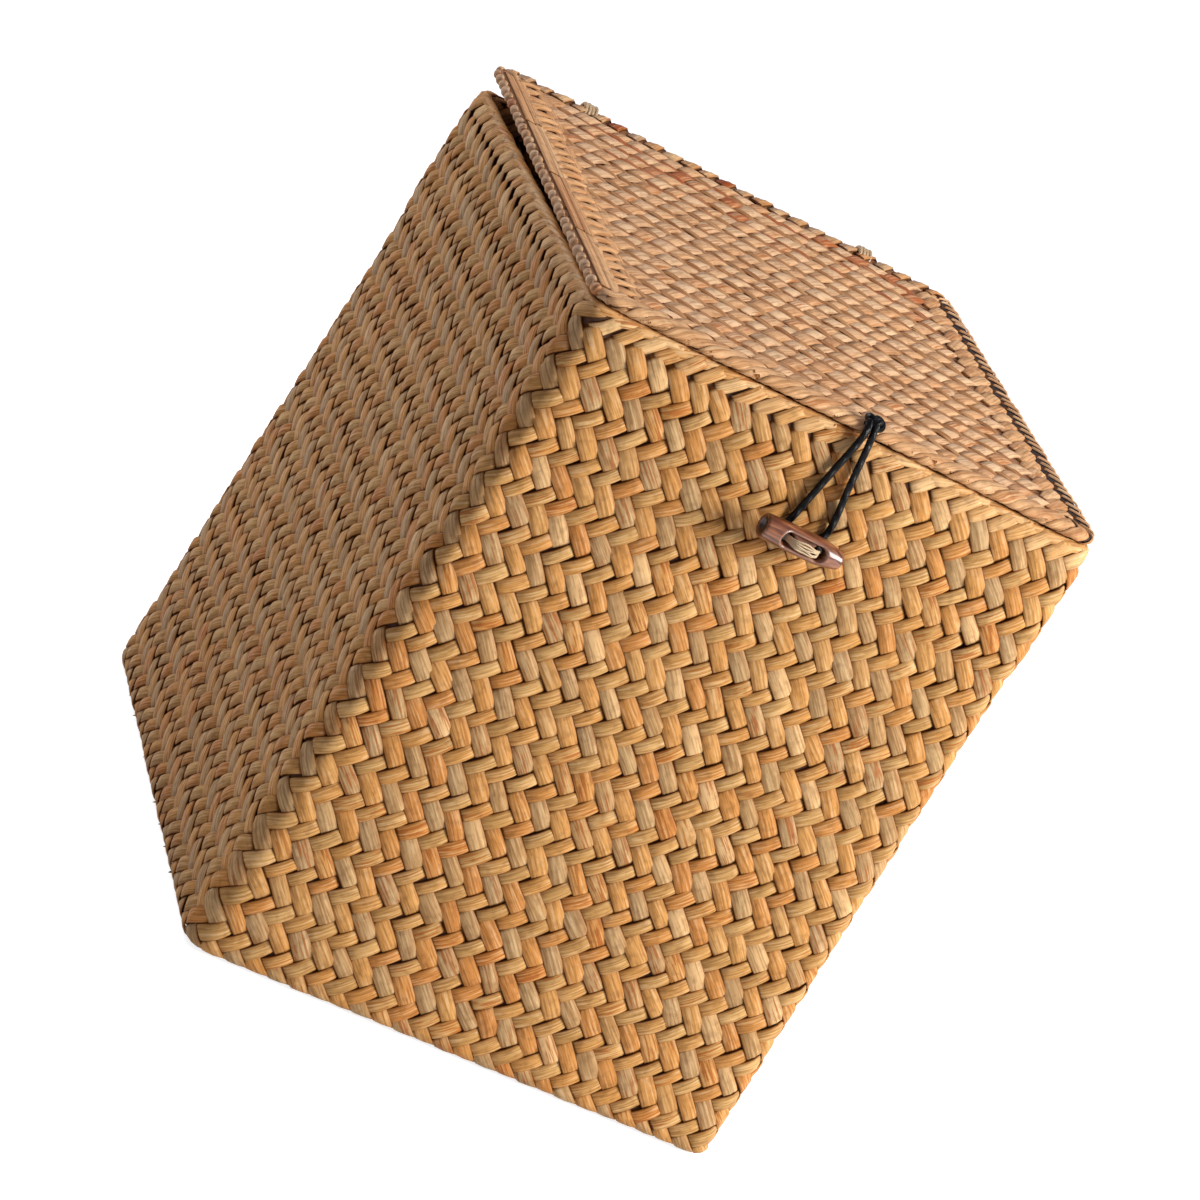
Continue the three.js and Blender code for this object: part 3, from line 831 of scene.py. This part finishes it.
def swept(name, path, section, finish, closed=False):
    """A mesh of one cross section set square to a path, with the length along it as a mark."""
    count, sides = len(path), len(section)
    tangents = []
    for i in range(count):
        before = path[i - 1] if i or closed else path[0]
        after = path[(i + 1) % count] if i < count - 1 or closed else path[-1]
        tangents.append((after - before).normalized())
    side = tangents[0].orthogonal().normalized()
    frames = []
    for i, tangent in enumerate(tangents):
        if i:
            side = tangents[i - 1].rotation_difference(tangent) @ side
        side = (side - tangent * side.dot(tangent)).normalized()
        frames.append((side.copy(), tangent.cross(side)))
    twist = 0.0
    if closed:
        last = tangents[-1].rotation_difference(tangents[0]) @ side
        twist = math.atan2(last.dot(frames[0][1]), last.dot(frames[0][0]))
    points, travel, travels = [], 0.0, []
    for i, (first, second) in enumerate(frames):
        turn = -twist * i / count
        for u, v in section:
            spun = (u * math.cos(turn) - v * math.sin(turn), u * math.sin(turn) + v * math.cos(turn))
            points.append(path[i] + first * spun[0] + second * spun[1])
            travels.append(travel)
        travel += (path[(i + 1) % count] - path[i]).length
    faces = [
        (i * sides + j, (i + 1) % count * sides + j, (i + 1) % count * sides + (j + 1) % sides,
         i * sides + (j + 1) % sides)
        for i in range(count if closed else count - 1) for j in range(sides)
    ]
    if not closed:
        faces += [tuple(range(sides)), tuple((count - 1) * sides + j for j in reversed(range(sides)))]
    around = [j / sides for _ in path for j in range(sides)]
    return solid(name, points, faces, finish, along=travels, around=around)


def oval(width, thickness, sides=10):
    angles = [2 * math.pi * j / sides for j in range(sides)]
    return [(width / 2 * math.cos(angle), thickness / 2 * math.sin(angle)) for angle in angles]


def joined(name, parts, finish):
    """One mesh of several parts, which are removed."""
    mesh = bpy.data.meshes.new(name)
    made = bmesh.new()
    for part in parts:
        made.from_mesh(part.data)
        bpy.data.objects.remove(part)
    made.to_mesh(mesh)
    made.free()
    mesh.materials.append(finish)
    return link(name, mesh)


raffia, tree, shader = new_material("pale_raffia", 0.6)
along, around = attribute(tree, "along"), attribute(tree, "around")
threads = noise(tree, combined(tree, along * 160, around * 14, around * 3), 1.0, Detail=3.0)
feed(shader.inputs["Base Color"], ramp(tree, threads, [
    (0.25, (0.26, 0.14, 0.06)), (0.5, (0.62, 0.44, 0.24)), (0.75, (0.80, 0.64, 0.42))]))
fine_relief(tree, shader, threads, 0.6, 0.0003)

# Each turn goes round two centres, given as (y, z): one in the rim, and the lid's wire at the hinge.
low_place, low_radius = Vector((122.1, 309.4)) * MM, 5.6 * MM
high_place, high_radius = Vector((hinge.y, hinge.z)), 3.9 * MM
rise_vector = high_place - low_place
lift_angle = math.atan2(rise_vector.y, rise_vector.x)
wrap_angle = math.acos((low_radius - high_radius) / rise_vector.length)


def belt_path(x, spare):
    """A closed turn round both centres, like a belt round two wheels."""
    points = []
    for centre, radius, start, end in (
        (low_place, low_radius + spare, lift_angle + wrap_angle, lift_angle - wrap_angle + 2 * math.pi),
        (high_place, high_radius + spare, lift_angle - wrap_angle, lift_angle + wrap_angle),
    ):
        for step in range(17):
            angle = start + (end - start) * step / 16
            place = centre + Vector((math.cos(angle), math.sin(angle))) * radius
            points.append(Vector((x, place.x, place.y)))
    return points


turn_count, turn_pitch = 4, 1.75 * MM
for side, name in ((-1, "left"), (1, "right")):
    turns = []
    for turn in range(turn_count):
        x = side * lashing_offset + (turn - (turn_count - 1) / 2) * turn_pitch
        path = belt_path(x, (0.15 if turn % 2 else -0.05) * MM)
        turns.append(swept("turn", path, oval(1.5 * MM, 1.95 * MM), raffia, closed=True))
    lashing = joined("hinge_lashing_turns_" + name, turns, raffia)
    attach(lashing, "basket")
    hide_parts("hinge_lashing_" + name)


# Loop: a black waxed cotton cord, doubled. It comes over the lid's front edge, hangs down the front
# of the box and is hooked behind the toggle.
cord_black, tree, shader = new_material("waxed_black_cord")
along, around = attribute(tree, "along"), attribute(tree, "around")
lay = (along * 900 + around * (4 * math.pi)).sum("SINE") * 0.5 + 0.5
fuzz = noise(tree, object_place(tree), 1500.0, Detail=2.0)
feed(shader.inputs["Base Color"], mix(
    tree, fuzz.smooth(0.6, 0.8) * 0.3, (0.002, 0.002, 0.002), (0.02, 0.018, 0.017)))
feed(shader.inputs["Roughness"], fuzz * 0.2 + 0.3)
shader.inputs["Specular IOR Level"].default_value = 0.2
fine_relief(tree, shader, lay + fuzz * 0.5, 1.0, 0.0005)

cord_diameter = 3 * MM
loop_points = [Vector(point) * MM for point in (
    (4.3, -124.37, 326.05), (4.3, -125.22, 325.47), (4.3, -127.37, 321.75), (0.7, -128.33, 299.47),
    (-2.9, -128.33, 277.2), (-3.9, -128.33, 271.5), (2.3, -128.33, 267.5), (9.7, -128.33, 270.5),
    (13.9, -128.33, 276.2), (10.9, -128.33, 299.47), (7.7, -127.37, 321.75),
    (7.7, -125.22, 325.47), (7.7, -124.37, 326.05))]


def smooth_path(points, spacing):
    """A centripetal Catmull-Rom curve through the points, as short steps."""
    ends = [points[0] * 2 - points[1]] + points + [points[-1] * 2 - points[-2]]
    path = [points[0]]
    for p0, p1, p2, p3 in zip(ends, ends[1:], ends[2:], ends[3:]):
        t1 = (p1 - p0).length ** 0.5
        t2 = t1 + (p2 - p1).length ** 0.5
        t3 = t2 + (p3 - p2).length ** 0.5
        steps = max(2, round((p2 - p1).length / spacing))
        for step in range(1, steps + 1):
            t = t1 + (t2 - t1) * step / steps
            a1 = p0 * ((t1 - t) / t1) + p1 * (t / t1)
            a2 = p1 * ((t2 - t) / (t2 - t1)) + p2 * ((t - t1) / (t2 - t1))
            a3 = p2 * ((t3 - t) / (t3 - t2)) + p3 * ((t - t2) / (t3 - t2))
            b1 = a1 * ((t2 - t) / t2) + a2 * (t / t2)
            b2 = a2 * ((t3 - t) / (t3 - t1)) + a3 * ((t - t1) / (t3 - t1))
            path.append(b1 * ((t2 - t) / (t2 - t1)) + b2 * ((t - t1) / (t2 - t1)))
    return path


loop_path = smooth_path(loop_points, 1.5 * MM)
loop_length = sum((b - a).length for a, b in zip(loop_path, loop_path[1:]))
loop = swept("loop_of_cord", loop_path, oval(cord_diameter, cord_diameter, 12), cord_black)
tuple(loop_path[0])
[tuple(point) for point in loop_path]
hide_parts("loop_cord")
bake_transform(loop)


# Knot: the cord's two ends are tied in one hard round knot on top of the lid's front edge. Their
# tail goes back over the lid and down through it, to a stopper knot underneath.
def knotted(name, centre, radius, flat, cord, long=1.0):
    """An overhand knot, drawn up tight: a cord that crosses itself three times."""
    path = []
    for step in range(72):
        angle = 2 * math.pi * step / 72
        reach = radius * (0.62 + 0.38 * math.cos(3 * angle))
        path.append(centre + Vector((
            long * reach * math.cos(2 * angle), reach * math.sin(2 * angle),
            radius * flat * math.sin(3 * angle))))
    return swept(name, path, oval(cord, cord), cord_black, closed=True)


front_edge = -2 * lid_half - edge_radius
knot_place = Vector((6 * MM, front_edge + 4.6 * MM, 0))
tail_place = Vector((6 * MM, front_edge + 19 * MM, 0))
parts = [
    knotted("top", on_lid(knot_place + Vector((1.8, -0.8, 3.7)) * MM), 3.1 * MM, 0.5, 3.0 * MM, 1.25),
    knotted("under", on_lid(tail_place - Vector((0, 0, 3.4 * MM))), 2.3 * MM, 0.45, 2.2 * MM),
]
tail = [on_lid(start + Vector(shift) * MM) for start, shift in (
    (knot_place, (1, 1.5, 3.2)), (knot_place, (0, 4.5, 1.6)), (tail_place, (0, -7, 0.1)),
    (tail_place, (0, -2, 0.1)), (tail_place, (0, 0, -0.8)), (tail_place, (0, 0, -3)))]
parts.append(swept("tail", smooth_path(tail, 1.0 * MM), oval(2.4 * MM, 2.4 * MM), cord_black))
knot = joined("cord_knot", parts, cord_black)
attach(knot, "lid")
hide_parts("loop_knot")


# Toggle: a short stick of reddish brown wood, rounded at its ends and hollowed at the left one. The
# tie lies in a notch that is cut along its front, with a hole at each end.
toggle_wood, tree, shader = new_material("toggle_wood")
stretched = output_of(tree, "ShaderNodeMapping", {"Vector": object_place(tree), "Scale": (70, 600, 600)})
grain = noise(tree, stretched, 1.0, Detail=5.0, Distortion=0.9)
wood = ramp(tree, grain, [
    (0.3, (0.035, 0.010, 0.005)), (0.45, (0.16, 0.048, 0.018)), (0.6, (0.31, 0.105, 0.038)),
    (0.75, (0.47, 0.215, 0.105))])
# Painted shade: the hollow left end, the two holes and the notch's floor darken towards near black.
wood = mix(tree, attribute(tree, "depth").smooth(0.1, 0.9), wood, (0.022, 0.008, 0.004))
wood = mix(tree, attribute(tree, "edge") * 0.3, wood, (0.62, 0.36, 0.24))
feed(shader.inputs["Base Color"], wood)
feed(shader.inputs["Roughness"], grain * 0.25 + 0.22)
shader.inputs["Coat Weight"].default_value = 0.25
fine_relief(tree, shader, grain, 0.3, 0.0004)

toggle_place = Vector((2.3, -137.33, 271.5)) * MM
toggle_half, toggle_radius = 19 * MM, 5.7 * MM
notch_half, notch_width, notch_depth = 10.8 * MM, 3.5 * MM, 2.4 * MM
hole_offset, hole_radius, hole_depth = 7.5 * MM, 3.0 * MM, 2.6 * MM


def toggle_stick():
    rings, sides = 72, 56
    points, hollow_shades, edges = [], [], []

    def ring(x, radius, dark):
        for j in range(sides):
            angle = 2 * math.pi * j / sides
            here = Vector((x, -radius * math.cos(angle), radius * math.sin(angle)))
            # How much painted shade each point gets: full in the holes and the end cup, a little in the
            # notch.
            hollow_shade, light = dark, 0.0
            if here.y < 0 and abs(x) < notch_half + 2 * MM:
                out = math.hypot(max(abs(x) - (notch_half - notch_width), 0.0), here.z) / notch_width
                sink = 1 - min(max((out - 0.78) / 0.3, 0), 1)
                sink = sink * sink * (3 - 2 * sink)
                hole = math.hypot(abs(x) - hole_offset, here.z) / hole_radius
                hole = 1 - min(max((hole - 0.7) / 0.4, 0), 1)
                here.y += notch_depth * sink + hole_depth * hole
                hollow_shade = max(hollow_shade, 0.3 * sink, hole)
                light = max(0.0, 1 - abs(out - 1.1) / 0.22)
            points.append(here + toggle_place)
            hollow_shades.append(hollow_shade)
            edges.append(light)

    profile = []
    for step in range(rings + 1):
        x = -toggle_half + 2 * toggle_half * step / rings
        share = abs(x) / toggle_half
        taper = min(max((share - 0.42) / 0.58, 0.0), 1.0)
        narrow = 1 - (0.36 if x > 0 else 0.08) * taper ** 1.5
        round_off = math.sqrt(max(0.0, 1 - max(0.0, (share - 0.94) / 0.06) ** 2)) * 0.12 + 0.88
        profile.append((x, toggle_radius * narrow * round_off, 0.0))
    left, right = profile[0], profile[-1]
    cup_left = [(left[0] + depth * MM, left[1] * share, dark) for share, depth, dark in (
        (0.05, 2.4, 1.0), (0.45, 2.2, 1.0), (0.68, 1.2, 0.9), (0.84, 0.25, 0.3))]
    cup_right = [(right[0] - depth * MM, right[1] * share, dark) for share, depth, dark in (
        (0.84, 0.0, 0.0), (0.5, 0.1, 0.1), (0.05, 0.15, 0.2))]
    profile = cup_left + profile + cup_right
    for x, radius, dark in profile:
        ring(x, radius, dark)
    faces = [
        (i * sides + j, i * sides + (j + 1) % sides, (i + 1) * sides + (j + 1) % sides, (i + 1) * sides + j)
        for i in range(len(profile) - 1) for j in range(sides)
    ]
    faces += [tuple(range(sides)), tuple((len(profile) - 1) * sides + j for j in range(sides))]
    return solid("toggle_stick", points, faces, toggle_wood, depth=hollow_shades, edge=edges)


toggle = toggle_stick()
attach(toggle, "toggle")
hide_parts("toggle")


# Tie: a few pale fibres, sewn down one hole of the toggle and up the other, with their ends
# through the wall in a knot inside.
fibres = []
for fibre in range(5):
    height = (fibre - 2.4) * 0.85
    bow = 0.35 * math.cos((fibre - 2) * 0.6)
    wave = 0.45 * math.sin(fibre * 2.1)
    hole = hole_offset / MM
    route = [toggle_place + Vector(point) * MM for point in (
        (-0.4, 9.5, height * 0.4), (-1.2, 7.0, height * 0.4), (-hole, 5.6, height * 0.5),
        (-hole, 0.0, height * 0.6), (2.4 - hole, -3.2, height * 0.7), (4.6 - hole, -4.3 - bow, height),
        (1.0, -4.6 - bow, height + wave), (hole - 2.6, -4.4 - bow, height - wave),
        (hole - 0.3, -3.6, height * 0.7), (hole, 0.0, height * 0.6), (hole, 5.6, height * 0.5),
        (1.2, 7.0, height * 0.4), (0.4, 9.5, height * 0.4))]
    fibres.append(swept("fibre", smooth_path(route, 1.0 * MM), oval(0.95 * MM, 0.8 * MM, 6), raffia))
wall_y = -116.6 * MM
shank = [Vector((toggle_place.x, y, toggle_place.z)) for y in (toggle_place.y + 8 * MM, wall_y - 1 * MM)]
fibres.append(swept("shank", smooth_path(shank, 1.0 * MM), oval(3.6 * MM, 3.6 * MM), raffia))
inner_knot = knotted("inner", Vector(), 2.6 * MM, 0.5, 2.6 * MM)
for vertex in inner_knot.data.vertices:
    x, y, z = vertex.co
    vertex.co = Vector((toggle_place.x + x, wall_y + z, toggle_place.z + y))
fibres.append(inner_knot)
tie = joined("toggle_tie_fibres", fibres, raffia)
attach(tie, "toggle")
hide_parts("toggle_tie")


# Studio: a floor that looks white to the camera, and soft light. The key light stands on the right
# and in front, and a weaker one behind on the left.
floor_mesh = bpy.data.meshes.new("floor")
reach = 20
corners = [(-reach, -reach, 0), (reach, -reach, 0), (reach, reach, 0), (-reach, reach, 0)]
floor_mesh.from_pydata(corners, [], [(0, 1, 2, 3)])
floor = link("floor", floor_mesh)
floor_material, tree, shader = new_material("white_floor", 0.9)
shader.inputs["Base Color"].default_value = (0.6, 0.6, 0.6, 1)
ray = add_node(tree, "ShaderNodeLightPath")
seen = Figure(tree, ray.outputs["Is Camera Ray"]) + Figure(tree, ray.outputs["Is Glossy Ray"])
seen = seen + Figure(tree, ray.outputs["Is Transmission Ray"])
shader.inputs["Emission Color"].default_value = (1, 1, 1, 1)
feed(shader.inputs["Emission Strength"], seen * 0.84)
floor_mesh.materials.append(floor_material)

world = bpy.data.worlds.new("studio")
bpy.context.scene.world = world
world.use_nodes = True
background = world.node_tree.nodes["Background"]
background.inputs["Color"].default_value = (0.96, 0.94, 1.18, 1)
background.inputs["Strength"].default_value = 0.27
lamp_aim, lamp_distance = Vector((0, 0, 0.17)), 1.6
for name, direction, power, size in (
    ("key_light", (0.74, -0.50, 0.45), 38, 0.75), ("back_light", (-0.46, 0.72, 0.52), 10, 0.5),
):
    lamp = link(name, bpy.data.lights.new(name, "AREA"))
    lamp.data.shape = "DISK"
    lamp.data.size = size
    lamp.data.energy = power
    lamp.location = lamp_aim + Vector(direction) * lamp_distance
    lamp.rotation_mode = "QUATERNION"
    lamp.rotation_quaternion = Vector(direction).to_track_quat("Z", "Y")
